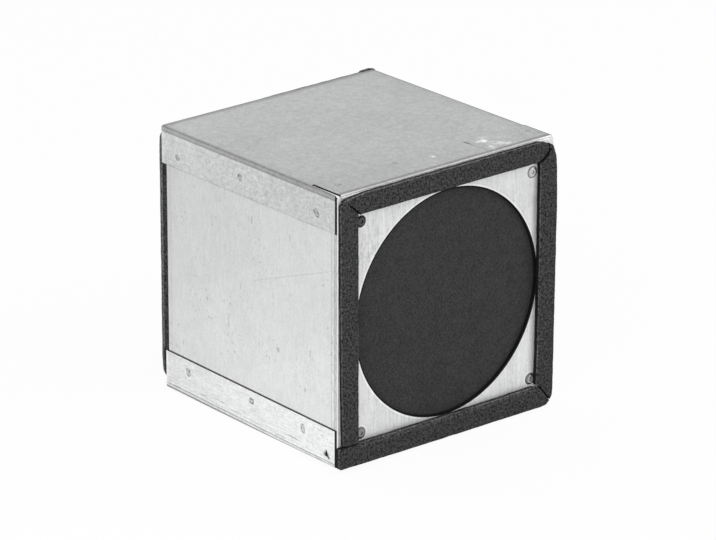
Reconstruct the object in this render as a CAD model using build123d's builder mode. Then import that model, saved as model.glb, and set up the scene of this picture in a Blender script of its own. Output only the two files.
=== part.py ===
from build123d import *
from math import cos, radians, sin
import os

# Backdraft damper: a square sheet-metal casing with a round inlet, closed by one flap
# that hangs from a shaft at the top and swings towards the outlet.
# Millimetres. X runs across, Y from the inlet face to the outlet face, Z up.
# The origin is on the floor, under the middle of the damper.

# Casing
casing_width = 200.0
casing_height = 203.0
casing_depth = 194.0
sheet = 1.0
bend_inside = 0.9
top_overhang = 2.0

# Side flanges of the top and bottom panels; the lower ones taper towards the front
upper_flange = 28.2
lower_flange = 30.3
lower_flange_front = 28.0
cover_start = 3.0
pierced_width = 3.4
pierced_height = 4.8
pierced_depth = 12.1
pierced_low = 6.5

# Raised front tab of the top panel
tab_length = 30.0
tab_rise = 0.8
tab_ramp = 1.5
tab_side_gap = 2.0
slit_rear = 0.4
slit_front = 1.2

# Returns of the side panels
front_return = 26.0
rear_return = 15.0
return_end_gap = 3.0
seal_relief = 4.0
corner_relief = 27.1

# Front plate
opening_side_margin = 15.2
opening_end_margin = 16.7
opening_shift = 0.7
opening_drop = 0.6
plate_flange_gap = 0.5
plate_flange_side_gap = 3.5
plate_corner = 2.5

# Rear frame
rear_land = 15.0
rear_frame_side_gap = 1.5
rear_frame_end_gap = 0.2
rear_corner = 6.0

# Foam strips
foam_width = 15.0
foam_thickness = 5.0
foam_edge = 1.0
front_foam_bottom_gap = 0.7
front_foam_top_gap = 0.6
rear_foam_gap = 0.3

# Seat seal and flap
seat_land = 5.0
seat_thickness = 1.5
seal_neck = 1.0
seal_neck_gap = 0.1
seal_neck_recess = 0.2
closed_gap = 0.3
flap_sheet = 1.0
flap_rim = 4.0
facing_thickness = 3.0
facing_margin = 0.5

# Hinge
shaft_diameter = 5.0
shaft_overhang = 4.0
shaft_chamfer = 0.5
shaft_drop = 6.7
running_clearance = 0.06
seated_clearance = 0.02
bush_wall = 0.94
bush_flange_radius = 5.0
bush_flange = 1.0
bush_proud = 0.3
end_float = 0.3
clip_thickness = 0.8
clip_radius = 5.0
clip_mouth = 3.4
strap_sheet = 1.0
strap_width = 18.0
strap_spacing = 70.0
strap_foot_rise = 37.8
strap_corner = 4.0
eye_turn = 300.0
rim_notch_gap = 1.0
bracket_sheet = 1.5
bracket_ear_gap = 10.5
bracket_base = 18.0
bracket_reach = 16.0
bracket_height = 29.0
bracket_corner = 4.0
bracket_top_gap = 0.5

# Rivets
rivet_side_margin = 20.0
rivet_end_margin = 22.5
rivet_radius = 2.0
rivet_hole_gap = 0.1
rivet_head_radius = 4.2
rivet_head_height = 1.1
rivet_crown_radius = 2.8
rivet_tail_radius = 3.0
rivet_tail_length = 2.5
rivet_shifts = {
    (-1, -1): (1.5, 0.3),
    (-1, 1): (1.2, 0.0),
    (1, -1): (0.7, -1.5),
    (1, 1): (0.0, -0.5),
}
flap_rivet_radius = 1.6
flap_rivet_head_radius = 3.4
flap_rivet_head_height = 1.4
flap_rivet_spacing = 26.0
flap_rivet_end = 9.0

# Open stop
open_angle = 80.0
stop_depth = 59.0
stop_width = 20.0
stop_foot = 8.0
stop_sheet = 1.5
buffer_diameter = 10.0
buffer_height = 5.0
buffer_gap = 0.3

# Places that follow from the sizes above
half_width = casing_width / 2
fold = bend_inside + sheet / 2
front_y = -casing_depth / 2
centre_z = casing_height / 2
side_outer = half_width - sheet
opening_width = casing_width - 2 * opening_side_margin
opening_height = casing_height - 2 * opening_end_margin
opening_radius = min(opening_width, opening_height) / 2
opening_centre = (opening_shift, centre_z - opening_drop)
opening_z = opening_centre[1]
seat_inner = opening_radius - seal_neck
seat_outer = opening_radius + seat_land
flap_radius = seat_outer
relief_radius = flap_radius + seal_relief
facing_front = sheet + seat_thickness + closed_gap
flap_front = facing_front + facing_thickness
flap_back = flap_front + flap_sheet
shaft_radius = shaft_diameter / 2
eye_middle = shaft_radius + seated_clearance + strap_sheet / 2
shaft_depth = flap_back + strap_sheet / 2 + eye_middle
shaft_z = casing_height - sheet - shaft_drop
rivet_spacing_x = casing_width - 2 * rivet_side_margin
rivet_spacing_z = casing_height - 2 * rivet_end_margin
strap_foot = opening_z + strap_foot_rise
tab_under = casing_height - sheet + tab_rise
plate_flange_half = half_width - plate_flange_side_gap
plate_flange = tab_length - tab_ramp - plate_flange_gap
side_low = sheet + bend_inside
side_high = casing_height - side_low
bracket_inner = rivet_spacing_x / 2 - bracket_ear_gap
bracket_outer = bracket_inner + bracket_sheet
bush_radius = shaft_radius + running_clearance + bush_wall
bush_end = bracket_outer + bush_proud
clip_inner = bush_end + end_float
shaft_half_length = clip_inner + clip_thickness + shaft_overhang
flange_sides = (-1, 1)
levels = (-1, 1)
strap_places = tuple(side * strap_spacing / 2 for side in flange_sides)


def behind(depth):
    """The Y coordinate of a place at this depth behind the inlet face."""
    return front_y + depth


def across(depth):
    """The upright plane across the casing at this depth; a negative extrusion runs to the rear."""
    return Plane.XZ.offset(-behind(depth))


def rivet_place(side, level):
    """The centre of the front rivet on this side (-1 or 1) and level (-1 low, 1 high)."""
    shift_x, shift_z = rivet_shifts[(side, level)]
    x = side * rivet_spacing_x / 2 + shift_x
    return (x, centre_z + level * rivet_spacing_z / 2 + shift_z)


def save(part, name):
    part.label = name
    export_step(part, f"parts/{name}.step")


def make_side_panel(side, name):
    middle = side * (side_outer - sheet / 2)
    front = behind(sheet + sheet / 2)
    rear = behind(casing_depth - sheet - sheet / 2)
    with BuildPart() as panel:
        with BuildSketch(Plane.XY.offset(side_low)):
            with BuildLine():
                FilletPolyline(
                    (side * (side_outer - front_return), front),
                    (middle, front),
                    (middle, rear),
                    (side * (side_outer - rear_return), rear),
                    radius=fold,
                )
            trace(line_width=sheet)
        extrude(amount=side_high - side_low)
        # The returns stop short of the top and bottom panels
        notch = front_return + sheet
        notch_x = side * (side_outer - bend_inside - sheet - notch / 2)
        notch_places = [
            (notch_x, y, z)
            for y in (front, rear)
            for z in (side_low + return_end_gap / 2, side_high - return_end_gap / 2)
        ]
        with Locations(*notch_places):
            Box(notch, 2 * sheet, return_end_gap, mode=Mode.SUBTRACT)
        # Behind the top panel's flange the bend is cut away
        relief = bend_inside + sheet
        relief_x = side * (side_outer - relief / 2)
        with Locations((relief_x, behind(sheet + relief / 2), side_high - corner_relief / 2)):
            Box(relief, relief, corner_relief, mode=Mode.SUBTRACT)
        # The front return is cut round the flap and its seal
        with BuildSketch(across(sheet / 2)):
            with Locations(opening_centre):
                Circle(relief_radius)
        extrude(amount=-2 * sheet, mode=Mode.SUBTRACT)
        with BuildSketch(across(sheet / 2)):
            with Locations(*[rivet_place(side, level) for level in levels]):
                Circle(rivet_radius + rivet_hole_gap)
        extrude(amount=-2 * sheet, mode=Mode.SUBTRACT)
    save(panel.part, name)


# Top panel: folded over the side panels, with its raised front tab
with BuildPart() as top_panel:
    web_middle = casing_height - sheet / 2
    flange_end = casing_height - upper_flange
    flange_middle = half_width - sheet / 2
    with BuildSketch(across(cover_start)):
        with BuildLine():
            FilletPolyline(
                (-flange_middle, flange_end),
                (-flange_middle, web_middle),
                (flange_middle, web_middle),
                (flange_middle, flange_end),
                radius=fold,
            )
        trace(line_width=sheet)
    extrude(amount=-(casing_depth + top_overhang - cover_start))
    # Clear the front of the web, with a slit that widens towards the front
    tab_half = half_width - tab_side_gap
    with BuildSketch(Plane.XY.offset(casing_height - 2 * sheet)):
        with BuildLine():
            Polyline(
                (-tab_half - slit_front, behind(-sheet)),
                (tab_half + slit_front, behind(-sheet)),
                (tab_half + slit_rear, behind(tab_length)),
                (-tab_half - slit_rear, behind(tab_length)),
                close=True,
            )
        make_face()
    extrude(amount=3 * sheet, mode=Mode.SUBTRACT)
    with BuildSketch(Plane.YZ.offset(-tab_half)):
        with BuildLine():
            Polyline(
                (behind(0), web_middle + tab_rise),
                (behind(tab_length - tab_ramp), web_middle + tab_rise),
                (behind(tab_length), web_middle),
                (behind(tab_length + tab_ramp), web_middle),
            )
        trace(line_width=sheet)
    extrude(amount=2 * tab_half)

# Bottom panel: the same fold, turned up
with BuildPart() as bottom_panel:
    with BuildSketch(across(0)):
        with BuildLine():
            FilletPolyline(
                (-flange_middle, lower_flange),
                (-flange_middle, sheet / 2),
                (flange_middle, sheet / 2),
                (flange_middle, lower_flange),
                radius=fold,
            )
        trace(line_width=sheet)
    extrude(amount=-casing_depth)
    # The side flanges start behind the front plate
    front_cut = bend_inside + sheet
    cut_y = behind(cover_start / 2)
    cut_places = [(side * half_width, cut_y, lower_flange / 2) for side in flange_sides]
    with Locations(*cut_places):
        Box(2 * front_cut, cover_start, lower_flange + sheet, mode=Mode.SUBTRACT)
    with BuildSketch(Plane.YZ.offset(-half_width)):
        with BuildLine():
            Polyline(
                (behind(0), lower_flange_front),
                (behind(0), lower_flange + sheet),
                (behind(casing_depth), lower_flange + sheet),
                (behind(casing_depth), lower_flange),
                close=True,
            )
        make_face()
    extrude(amount=casing_width, mode=Mode.SUBTRACT)
    # A pierced mark in the left flange
    pierced_top = pierced_low + pierced_height
    with BuildSketch(Plane.YZ.offset(-half_width)):
        with BuildLine():
            Polyline(
                (behind(pierced_depth - pierced_width / 2), pierced_low),
                (behind(pierced_depth + pierced_width / 2), pierced_low),
                (behind(pierced_depth), pierced_top),
                close=True,
            )
        make_face()
    extrude(amount=sheet, mode=Mode.SUBTRACT)

# Front plate: folded in under the top tab and onto the bottom panel
with BuildPart() as front_plate:
    plate_middle = behind(sheet / 2)
    with BuildSketch(Plane.YZ.offset(-plate_flange_half)):
        with BuildLine():
            FilletPolyline(
                (behind(plate_flange), sheet + sheet / 2),
                (plate_middle, sheet + sheet / 2),
                (plate_middle, tab_under - sheet / 2),
                (behind(plate_flange), tab_under - sheet / 2),
                radius=fold,
            )
        trace(line_width=sheet)
    extrude(amount=2 * plate_flange_half)
    face_height = tab_under - sheet
    with BuildSketch(across(0)):
        with Locations((0, sheet + face_height / 2)):
            RectangleRounded(casing_width, face_height, plate_corner)
            Rectangle(2 * plate_flange_half, casing_height, mode=Mode.SUBTRACT)
    extrude(amount=-sheet)
    with BuildSketch(across(0)):
        with Locations(opening_centre):
            Circle(opening_radius)
        with Locations(*[rivet_place(side, level) for side in flange_sides for level in levels]):
            Circle(rivet_radius + rivet_hole_gap)
    extrude(amount=-sheet, mode=Mode.SUBTRACT)

# Rear frame: ties the rear returns together and carries the rear foam
rear_frame_width = 2 * (side_outer - rear_frame_side_gap)
rear_frame_height = casing_height - 2 * (sheet + rear_frame_end_gap)
with BuildPart() as rear_frame:
    with BuildSketch(across(casing_depth - sheet)):
        with Locations((0, centre_z)):
            Rectangle(rear_frame_width, rear_frame_height)
            RectangleRounded(
                rear_frame_width - 2 * rear_land,
                rear_frame_height - 2 * rear_land,
                rear_corner,
                mode=Mode.SUBTRACT,
            )
    extrude(amount=-sheet)


def make_foam_strip(name, left, right, low, high, depth):
    """One adhesive foam strip, from its left to its right edge and from low to high."""
    with BuildPart() as strip:
        with BuildSketch(across(depth)):
            with Locations(((left + right) / 2, (low + high) / 2)):
                Rectangle(right - left, high - low)
        extrude(amount=-foam_thickness)
        chamfer(strip.edges().filter_by(Axis.Y), foam_edge)
    save(strip.part, name)


def make_foam_ring(end, outer, low, high, depth):
    """Four butted strips: the top and bottom ones run the full width."""
    make_foam_strip(f"{end}_seal_top", -outer, outer, high - foam_width, high, depth)
    make_foam_strip(f"{end}_seal_bottom", -outer, outer, low, low + foam_width, depth)
    for side, word in ((-1, "left"), (1, "right")):
        edges = sorted((side * outer, side * (outer - foam_width)))
        make_foam_strip(f"{end}_seal_{word}", *edges, low + foam_width, high - foam_width, depth)


# Seat seal on the back of the front plate, with a neck that lines the opening
with BuildPart() as seat_seal:
    with BuildSketch(across(sheet)):
        with Locations(opening_centre):
            Circle(seat_outer)
            Circle(seat_inner, mode=Mode.SUBTRACT)
    extrude(amount=-seat_thickness)
    with BuildSketch(across(sheet)):
        with Locations(opening_centre):
            Circle(opening_radius - seal_neck_gap)
            Circle(seat_inner, mode=Mode.SUBTRACT)
    extrude(amount=sheet - seal_neck_recess)

# Flap plate: a disc with its rim turned to the rear, notched for the straps
with BuildPart() as blade_plate:
    with BuildSketch(across(flap_front)):
        with Locations(opening_centre):
            Circle(flap_radius)
    extrude(amount=-flap_sheet)
    with BuildSketch(across(flap_back)):
        with Locations(opening_centre):
            Circle(flap_radius)
            Circle(flap_radius - flap_sheet, mode=Mode.SUBTRACT)
    extrude(amount=-flap_rim)
    notch_width = strap_width + 2 * rim_notch_gap
    notch_height = 2 * (shaft_z - strap_foot)
    with Locations(*[(x, behind(flap_back + flap_rim / 2), shaft_z) for x in strap_places]):
        Box(notch_width, flap_rim, notch_height, mode=Mode.SUBTRACT)
    lower_rivet_z = strap_foot + flap_rivet_end
    upper_rivet_z = lower_rivet_z + flap_rivet_spacing
    flap_rivet_places = [(x, z) for x in strap_places for z in (lower_rivet_z, upper_rivet_z)]
    with BuildSketch(across(flap_front)):
        with Locations(*flap_rivet_places):
            Circle(flap_rivet_radius + rivet_hole_gap)
    extrude(amount=-flap_sheet, mode=Mode.SUBTRACT)

# Foam facing glued to the front of the flap plate
with BuildPart() as blade_facing:
    with BuildSketch(across(facing_front)):
        with Locations(opening_centre):
            Circle(flap_radius - facing_margin)
    extrude(amount=-facing_thickness)


def make_strap(place, name):
    """A strap on the back of the flap, its upper end rolled round the shaft."""
    leg = behind(flap_back + strap_sheet / 2)
    with BuildPart() as strap:
        with BuildSketch(Plane.YZ.offset(place - strap_width / 2)):
            with BuildLine():
                Line((leg, strap_foot), (leg, shaft_z))
                CenterArc((behind(shaft_depth), shaft_z), eye_middle, 180, -eye_turn)
            trace(line_width=strap_sheet)
        extrude(amount=strap_width)
        foot_edges = strap.edges().filter_by(Axis.Y).group_by(Axis.Z)[0]
        fillet(foot_edges, strap_corner)
        with BuildSketch(across(flap_back)):
            with Locations((place, lower_rivet_z), (place, upper_rivet_z)):
                Circle(flap_rivet_radius + rivet_hole_gap)
        extrude(amount=-strap_sheet, mode=Mode.SUBTRACT)
    save(strap.part, name)


# Flap rivets: flush under the facing, their heads on the back
with BuildPart() as blade_rivets:
    with BuildSketch(across(flap_front)):
        with Locations(*flap_rivet_places):
            Circle(flap_rivet_radius)
    extrude(amount=-(flap_sheet + strap_sheet))
    with BuildSketch(across(flap_back + strap_sheet)):
        with Locations(*flap_rivet_places):
            Circle(flap_rivet_head_radius)
    extrude(amount=-flap_rivet_head_height)

# Hinge shaft, turning with the flap
with BuildPart() as hinge_shaft:
    with BuildSketch(Plane.YZ.offset(-shaft_half_length)):
        with Locations((behind(shaft_depth), shaft_z)):
            Circle(shaft_radius)
    extrude(amount=2 * shaft_half_length)
    chamfer(hinge_shaft.edges().filter_by(GeomType.CIRCLE), shaft_chamfer)

# Retaining clips on the shaft ends
with BuildPart() as shaft_clips:
    for side in flange_sides:
        with BuildSketch(Plane.YZ.offset(side * (clip_inner + clip_thickness / 2))):
            with Locations((behind(shaft_depth), shaft_z)):
                Circle(clip_radius)
                Circle(shaft_radius + seated_clearance, mode=Mode.SUBTRACT)
                with Locations((0, -clip_radius / 2)):
                    Rectangle(clip_mouth, clip_radius, mode=Mode.SUBTRACT)
        extrude(amount=clip_thickness / 2, both=True)


def make_bracket(side, name):
    """An angle behind the front return: its ear carries the shaft bush."""
    base_middle = behind(2 * sheet + bracket_sheet / 2)
    ear_middle = side * (bracket_inner + bracket_sheet / 2)
    top = tab_under - sheet - bracket_top_gap
    with BuildPart() as bracket:
        with BuildSketch(Plane.XY.offset(top - bracket_height)):
            with BuildLine():
                FilletPolyline(
                    (side * (bracket_inner + bracket_base), base_middle),
                    (ear_middle, base_middle),
                    (ear_middle, behind(2 * sheet + bracket_reach)),
                    radius=bend_inside + bracket_sheet / 2,
                )
            trace(line_width=bracket_sheet)
        extrude(amount=bracket_height)
        fillet(bracket.edges().filter_by(Axis.X).group_by(Axis.Y)[-1], bracket_corner)
        with BuildSketch(Plane.YZ.offset(ear_middle)):
            with Locations((behind(shaft_depth), shaft_z)):
                Circle(bush_radius + seated_clearance)
        extrude(amount=bracket_sheet, both=True, mode=Mode.SUBTRACT)
        with BuildSketch(across(2 * sheet)):
            with Locations(rivet_place(side, 1)):
                Circle(rivet_radius + rivet_hole_gap)
        extrude(amount=-bracket_sheet, mode=Mode.SUBTRACT)
    save(bracket.part, name)


def make_bush(side, name):
    """A flanged bush in the bracket's ear."""
    shaft_place = (behind(shaft_depth), shaft_z)
    with BuildPart() as bush:
        with BuildSketch(Plane.YZ.offset(side * bracket_inner)):
            with Locations(shaft_place):
                Circle(bush_radius)
        extrude(amount=side * (bracket_sheet + bush_proud))
        with BuildSketch(Plane.YZ.offset(side * bracket_inner)):
            with Locations(shaft_place):
                Circle(bush_flange_radius)
        extrude(amount=-side * bush_flange)
        with BuildSketch(Plane.YZ.offset(side * (bracket_inner - bush_flange))):
            with Locations(shaft_place):
                Circle(shaft_radius + running_clearance)
        extrude(amount=side * (bracket_sheet + bush_proud + bush_flange), mode=Mode.SUBTRACT)
    save(bush.part, name)


# Front blind rivets: low head, shank and set tail.
# The upper two also hold the hinge brackets.
lower_stack = 2 * sheet
upper_stack = lower_stack + bracket_sheet
rivet_stacks = [
    (*rivet_place(side, level), stack)
    for side in flange_sides
    for level, stack in zip(levels, (lower_stack, upper_stack))
]
with BuildPart() as front_rivets:
    for x, z, stack in rivet_stacks:
        with BuildSketch(Plane.XY.offset(z)):
            with BuildLine():
                Polyline(
                    (x + rivet_head_radius, behind(0)),
                    (x + rivet_radius, behind(0)),
                    (x + rivet_radius, behind(stack)),
                    (x + rivet_tail_radius, behind(stack)),
                    (x + rivet_tail_radius, behind(stack + rivet_tail_length)),
                    (x, behind(stack + rivet_tail_length)),
                    (x, behind(-rivet_head_height)),
                    (x + rivet_crown_radius, behind(-rivet_head_height)),
                    close=True,
                )
            make_face()
        revolve(axis=Axis((x, 0, z), (0, 1, 0)))

# Open stop: a hat bracket under the top panel, with a rubber buffer that meets the open flap
buffer_radius = buffer_diameter / 2
flap_offset = flap_back - shaft_depth
turn = radians(open_angle)
contact_depth = stop_depth - buffer_radius
contact_along = (contact_depth - shaft_depth - flap_offset * cos(turn)) / sin(turn)
contact_z = shaft_z - contact_along * cos(turn) + flap_offset * sin(turn)
buffer_bottom = contact_z + buffer_gap
hat_bottom = buffer_bottom + buffer_height
hat_half = buffer_radius + stop_sheet
with BuildPart() as open_stop:
    foot_z = casing_height - sheet - stop_sheet / 2
    hat_z = hat_bottom + stop_sheet / 2
    foot_reach = hat_half + stop_foot
    with BuildSketch(Plane.YZ.offset(-stop_width / 2)):
        with BuildLine():
            FilletPolyline(
                (behind(stop_depth - foot_reach), foot_z),
                (behind(stop_depth - hat_half), foot_z),
                (behind(stop_depth - hat_half), hat_z),
                (behind(stop_depth + hat_half), hat_z),
                (behind(stop_depth + hat_half), foot_z),
                (behind(stop_depth + foot_reach), foot_z),
                radius=bend_inside + stop_sheet / 2,
            )
        trace(line_width=stop_sheet)
    extrude(amount=stop_width)

with BuildPart() as stop_buffer:
    with BuildSketch(Plane.XY.offset(buffer_bottom)):
        with Locations((0, behind(stop_depth))):
            Circle(buffer_radius)
    extrude(amount=buffer_height)

os.makedirs("parts", exist_ok=True)
for side, word in ((-1, "left"), (1, "right")):
    make_side_panel(side, f"{word}_side_panel")
    make_strap(side * strap_spacing / 2, f"{word}_hinge_strap")
    make_bracket(side, f"{word}_hinge_bracket")
    make_bush(side, f"{word}_bush")
front_foam_top = casing_height - front_foam_top_gap
make_foam_ring("front", half_width, front_foam_bottom_gap, front_foam_top, -foam_thickness)
rear_low = sheet + rear_foam_gap
make_foam_ring("rear", side_outer - rear_foam_gap, rear_low, casing_height - rear_low, casing_depth)
save(top_panel.part, "top_panel")
save(bottom_panel.part, "bottom_panel")
save(front_plate.part, "front_plate")
save(rear_frame.part, "rear_frame")
save(seat_seal.part, "seat_seal")
save(blade_plate.part, "blade_plate")
save(blade_facing.part, "blade_facing")
save(blade_rivets.part, "blade_rivets")
save(hinge_shaft.part, "hinge_shaft")
save(shaft_clips.part, "shaft_clips")
save(front_rivets.part, "front_rivets")
save(open_stop.part, "open_stop")
save(stop_buffer.part, "stop_buffer")
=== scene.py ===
import functools
import math

import bmesh
import bpy
from mathutils import Matrix, Vector


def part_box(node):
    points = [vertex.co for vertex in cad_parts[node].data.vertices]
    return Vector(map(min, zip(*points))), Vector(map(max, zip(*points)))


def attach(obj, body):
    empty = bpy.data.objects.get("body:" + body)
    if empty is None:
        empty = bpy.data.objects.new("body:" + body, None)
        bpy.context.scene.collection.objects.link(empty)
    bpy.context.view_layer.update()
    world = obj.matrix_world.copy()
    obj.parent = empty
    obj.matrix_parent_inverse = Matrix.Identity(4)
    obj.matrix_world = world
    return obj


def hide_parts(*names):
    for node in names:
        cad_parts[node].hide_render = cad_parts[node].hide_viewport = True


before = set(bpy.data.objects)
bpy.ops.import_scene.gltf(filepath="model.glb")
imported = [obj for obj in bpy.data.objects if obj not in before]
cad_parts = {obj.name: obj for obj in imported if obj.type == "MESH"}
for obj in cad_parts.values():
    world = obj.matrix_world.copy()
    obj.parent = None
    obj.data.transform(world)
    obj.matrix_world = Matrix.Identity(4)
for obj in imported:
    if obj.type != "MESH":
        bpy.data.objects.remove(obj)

# The visible finish of a backdraft damper: a folded galvanised casing with foam strips.
# Metres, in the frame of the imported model: X across, Y from the inlet to the outlet, Z up.
# Tables of places and widths are in millimetres, noise sizes in metres.

MM = 0.001
scene = bpy.context.scene
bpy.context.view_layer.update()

# Places read from the frame: the front plate's face, the fronts and backs of the foam, the rear frame's
# back, the top of the raised front tab and the rear end of the top panel
PLATE_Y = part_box("front_plate")[0].y
FOAM_FRONT_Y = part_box("front_seal_top")[0].y
REAR_FRAME_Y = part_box("rear_frame")[1].y
FOAM_REAR_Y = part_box("rear_seal_top")[1].y
TAB_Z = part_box("top_panel")[1].z
LIP_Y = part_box("top_panel")[1].y

# Outer faces of the covers' side flanges, of the side panels and of the top panel
FLANGE_X = 100 * MM
PANEL_X = 99 * MM
TOP_Z = 203 * MM
CASING_DEPTH = 194

# Camera, from lines of the casing in the photograph
CAMERA_AZIMUTH = -40.43
CAMERA_ELEVATION = 21.0
CAMERA_ROLL = -0.182
CAMERA_DISTANCE = 3.0578
CAMERA_SHIFT_RIGHT = -0.0024
CAMERA_SHIFT_UP = 0.0040
CAMERA_LENS = 213.15
CAMERA_REACH = 50
SENSOR_WIDTH = 36.0
AIM = Vector((0, PLATE_Y + 0.1, 0.1))


def depth(y):
    """The Y coordinate this many millimetres behind the front plate's face."""
    return PLATE_Y + y * MM


def on_plate(x, z):
    return x * MM, PLATE_Y, z * MM


class Shader:
    """Builds one procedural material, node by node, in the object's own coordinates."""

    def __init__(self, name):
        self.material = bpy.data.materials.new(name)
        self.material.use_nodes = True
        self.tree = self.material.node_tree
        self.tree.nodes.clear()
        output = self.node("ShaderNodeOutputMaterial")
        self.bsdf = self.node("ShaderNodeBsdfPrincipled")
        self.tree.links.new(self.bsdf.outputs[0], output.inputs["Surface"])
        self.place = self.node("ShaderNodeTexCoord").outputs["Object"]
        self.splits = {}

    def node(self, kind, **settings):
        made = self.tree.nodes.new(kind)
        for key, value in settings.items():
            setattr(made, key, value)
        return made

    def feed(self, socket, value):
        if isinstance(value, bpy.types.NodeSocket):
            self.tree.links.new(value, socket)
        else:
            socket.default_value = value

    def math(self, operation, first, second=0.0, clamp=False):
        made = self.node("ShaderNodeMath", operation=operation, use_clamp=clamp)
        self.feed(made.inputs[0], first)
        self.feed(made.inputs[1], second)
        return made.outputs[0]

    def joined(self, operation, values):
        return functools.reduce(lambda result, value: self.math(operation, result, value), values)

    def total(self, *values):
        return self.joined("ADD", values)

    def product(self, *values):
        return self.joined("MULTIPLY", values)

    def least(self, values):
        return self.joined("MINIMUM", values)

    def vector(self, operation, first, second=(0, 0, 0)):
        made = self.node("ShaderNodeVectorMath", operation=operation)
        self.feed(made.inputs[0], first)
        self.feed(made.inputs[1], second)
        return made.outputs["Value" if operation in ("LENGTH", "DISTANCE", "DOT_PRODUCT") else "Vector"]

    def scaled(self, vector, factor):
        made = self.node("ShaderNodeVectorMath", operation="SCALE")
        self.feed(made.inputs[0], vector)
        self.feed(made.inputs["Scale"], factor)
        return made.outputs["Vector"]

    def stretched(self, factors, offset=(0, 0, 0)):
        made = self.node("ShaderNodeMapping")
        self.feed(made.inputs["Vector"], self.place)
        self.feed(made.inputs["Scale"], factors)
        self.feed(made.inputs["Location"], offset)
        return made.outputs[0]

    def noise(self, size, detail=2.0, roughness=0.5, factors=(1, 1, 1), offset=(0, 0, 0)):
        """Cloudy noise whose features are about this size."""
        made = self.node("ShaderNodeTexNoise")
        self.feed(made.inputs["Vector"], self.stretched(factors, offset))
        self.feed(made.inputs["Scale"], 1.0 / size)
        self.feed(made.inputs["Detail"], detail)
        self.feed(made.inputs["Roughness"], roughness)
        return made.outputs["Fac"]

    def wandering(self, size, reach):
        """The place, moved about by noise so that outlines drawn from it turn uneven."""
        made = self.node("ShaderNodeTexNoise")
        self.feed(made.inputs["Vector"], self.place)
        self.feed(made.inputs["Scale"], 1.0 / size)
        self.feed(made.inputs["Detail"], 2.0)
        offset = self.vector("SUBTRACT", made.outputs["Color"], (0.5, 0.5, 0.5))
        return self.vector("ADD", self.place, self.scaled(offset, reach))

    def cells(self, size):
        """Distance from the middles of small random cells."""
        made = self.node("ShaderNodeTexVoronoi")
        self.feed(made.inputs["Vector"], self.stretched((1, 1, 1)))
        self.feed(made.inputs["Scale"], 1.0 / size)
        return made.outputs["Distance"]

    def remap(self, value, low, high, to_low=0.0, to_high=1.0):
        made = self.node("ShaderNodeMapRange")
        for socket, number in zip(made.inputs, (value, low, high, to_low, to_high)):
            self.feed(socket, number)
        return made.outputs[0]

    def spread(self, noise, low, high):
        """Noise, which mostly lies between 0.3 and 0.7, spread over this range."""
        return self.remap(noise, 0.3, 0.7, low, high)

    def ramp(self, value, start, end):
        """0 up to the start and 1 from the end, both in millimetres."""
        return self.remap(value, start * MM, end * MM)

    def split(self, kind, vector):
        """The parts of a vector along the axes, split once for each kind of vector."""
        if kind not in self.splits:
            made = self.node("ShaderNodeSeparateXYZ")
            self.feed(made.inputs[0], vector())
            self.splits[kind] = {key: made.outputs[key] for key in "XYZ"}
        return self.splits[kind]

    def axis(self, name):
        return self.split("place", lambda: self.place)[name]

    def own_normal(self):
        turn = self.node("ShaderNodeVectorTransform", vector_type="NORMAL")
        turn.convert_from, turn.convert_to = "WORLD", "OBJECT"
        self.feed(turn.inputs[0], self.node("ShaderNodeNewGeometry").outputs["True Normal"])
        return turn.outputs[0]

    def facing(self, name):
        """How far the surface's own normal points along an axis of the object."""
        return self.split("normal", self.own_normal)[name]

    def profile(self, value, stops):
        """A factor, at most 2, on straight lines between the stops of (millimetres, factor)."""
        low, high = stops[0][0], stops[-1][0]
        made = self.node("ShaderNodeValToRGB")
        elements = made.color_ramp.elements
        for place, factor in stops:
            if place in (low, high):
                element = elements[0 if place == low else -1]
            else:
                element = elements.new((place - low) / (high - low))
            element.color = (factor / 2, factor / 2, factor / 2, 1)
        self.feed(made.inputs[0], self.ramp(value, low, high))
        return self.math("MULTIPLY", made.outputs[0], 2.0)

    def mixed(self, share, first, second):
        """The first value where the share is 0, the second where it is 1."""
        made = self.node("ShaderNodeMix")
        for socket, value in zip((made.inputs[0], made.inputs[2], made.inputs[3]), (share, first, second)):
            self.feed(socket, value)
        return made.outputs[0]

    def unless(self, mask, factor):
        """The factor where the mask is 1, and 1 elsewhere."""
        return self.math("ADD", 1.0, self.math("MULTIPLY", mask, factor - 1.0))

    def from_point(self, point):
        return self.vector("DISTANCE", self.place, point)

    def near(self, point, inner, outer):
        """1 inside the inner radius round a point, falling to 0 at the outer one."""
        return self.ramp(self.from_point(point), outer, inner)

    def capsule(self, start, end, place=None):
        """Distance from a straight line between two points, or from one point."""
        start, end = Vector(start), Vector(end)
        along = end - start
        from_start = self.vector("SUBTRACT", place or self.place, tuple(start))
        if along.length < MM / 10:
            return self.vector("LENGTH", from_start)
        dot = self.vector("DOT_PRODUCT", from_start, tuple(along / along.length_squared))
        share = self.math("ADD", dot, 0.0, clamp=True)
        return self.vector("DISTANCE", from_start, self.scaled(tuple(along), share))

    def near_line(self, start, end, width, place=None):
        """1 on a straight line between two points, falling to 0 at half its width."""
        return self.ramp(self.capsule(start, end, place), width / 2, 0.0)

    def grey(self, value, tint=(1.0, 1.0, 1.0)):
        made = self.node("ShaderNodeCombineColor")
        for socket, share in zip(made.inputs, tint):
            self.feed(socket, self.math("MULTIPLY", value, share) if share != 1.0 else value)
        return made.outputs[0]

    def bump(self, height, distance, strength=1.0, under=None):
        made = self.node("ShaderNodeBump")
        self.feed(made.inputs["Height"], height)
        self.feed(made.inputs["Distance"], distance)
        self.feed(made.inputs["Strength"], strength)
        if under is not None:
            self.feed(made.inputs["Normal"], under)
        return made.outputs[0]

    def finish(self, **inputs):
        for name, value in inputs.items():
            self.feed(self.bsdf.inputs[name.replace("_", " ")], value)
        return self.material


ZINC_TINT = (0.995, 1.0, 1.005)

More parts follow.
